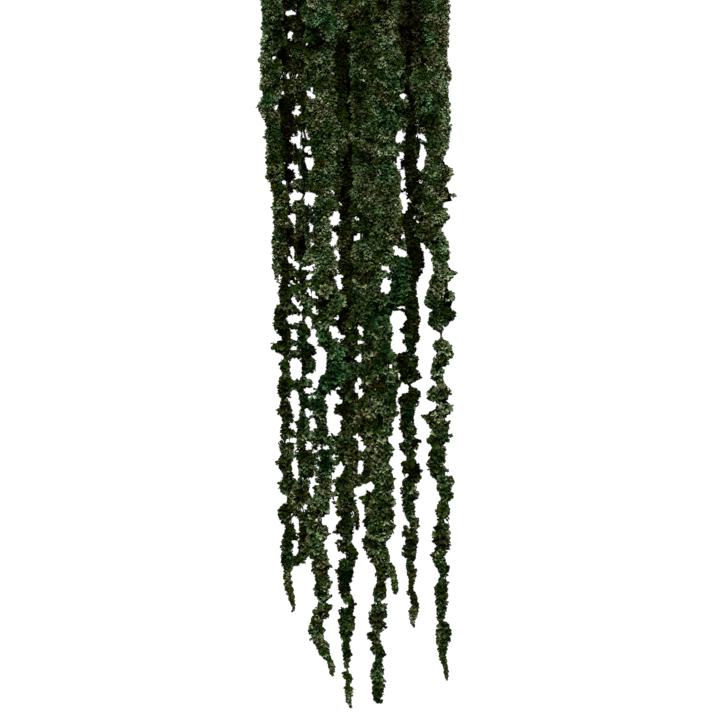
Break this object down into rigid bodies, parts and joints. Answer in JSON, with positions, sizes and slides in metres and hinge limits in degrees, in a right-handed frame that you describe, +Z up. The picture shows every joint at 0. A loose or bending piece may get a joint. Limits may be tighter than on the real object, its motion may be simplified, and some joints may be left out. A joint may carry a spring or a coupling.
{
  "type": "cut hanging amaranth plant",
  "caption": "Cut stem of hanging amaranth with long drooping tassels of tiny green flowers, laid down flat on a surface.",
  "frame": {"origin": "on the surface below the middle of the plant's outline", "axes": "+Y towards the stem's cut end, the tassels hang out towards -Y, +Z up off the surface"},
  "size_m": [0.1994, 0.948, 0.0507],
  "materials": {
    "stem": "ribbed dried green stem, matt",
    "flowers": "dense tiny papery flowers, matt, green with olive and brown"
  },
  "bodies": {
    "root": {"main_stem": "stem", "tassel_01": "flowers", "tassel_02": "flowers", "tassel_03": "flowers", "tassel_04": "flowers", "tassel_05": "flowers", "tassel_06": "flowers", "tassel_07": "flowers", "tassel_08": "flowers", "tassel_09": "flowers", "tassel_10": "flowers", "tassel_11": "flowers", "tassel_12": "flowers", "tassel_13": "flowers"}
  },
  "joints": []
}
